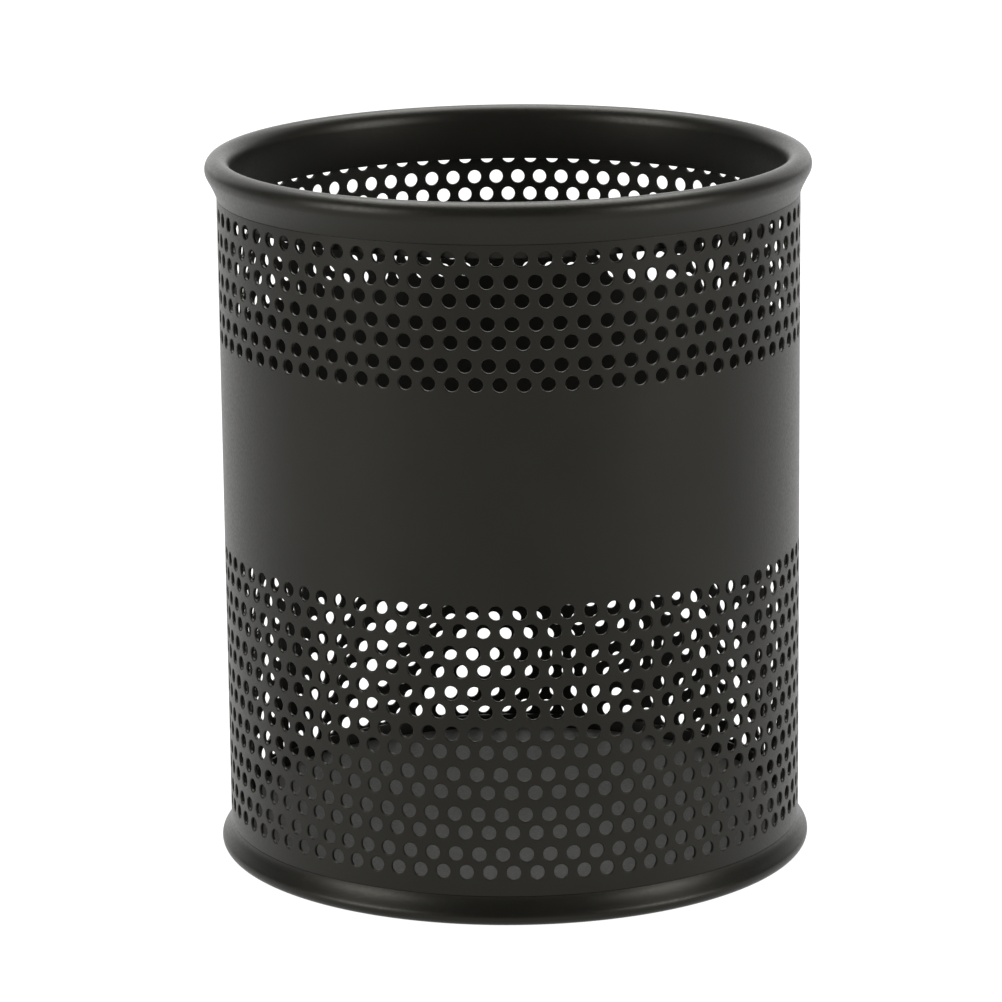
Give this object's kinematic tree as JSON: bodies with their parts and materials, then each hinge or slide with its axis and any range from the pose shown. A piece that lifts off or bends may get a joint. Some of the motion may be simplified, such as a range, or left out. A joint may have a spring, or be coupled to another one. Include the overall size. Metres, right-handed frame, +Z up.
{
  "type": "pen holder cup",
  "caption": "Round desk cup of perforated sheet with a plain middle band, a flared rolled rim and a flared base ring.",
  "frame": {"origin": "centre of the base, on the plane the cup stands on", "axes": "+Z up along the cup's axis; -Y is the front, the side seen in the picture"},
  "size_m": [0.085, 0.085, 0.1],
  "materials": {
    "powder_coat_wall": "satin",
    "powder_coat_rings": "satin",
    "powder_coat_floor": "satin"
  },
  "bodies": {
    "root": {"perforated_tube": "powder_coat_wall", "rim_ring": "powder_coat_rings", "base_ring": "powder_coat_rings", "floor_plate": "powder_coat_floor"}
  },
  "joints": []
}
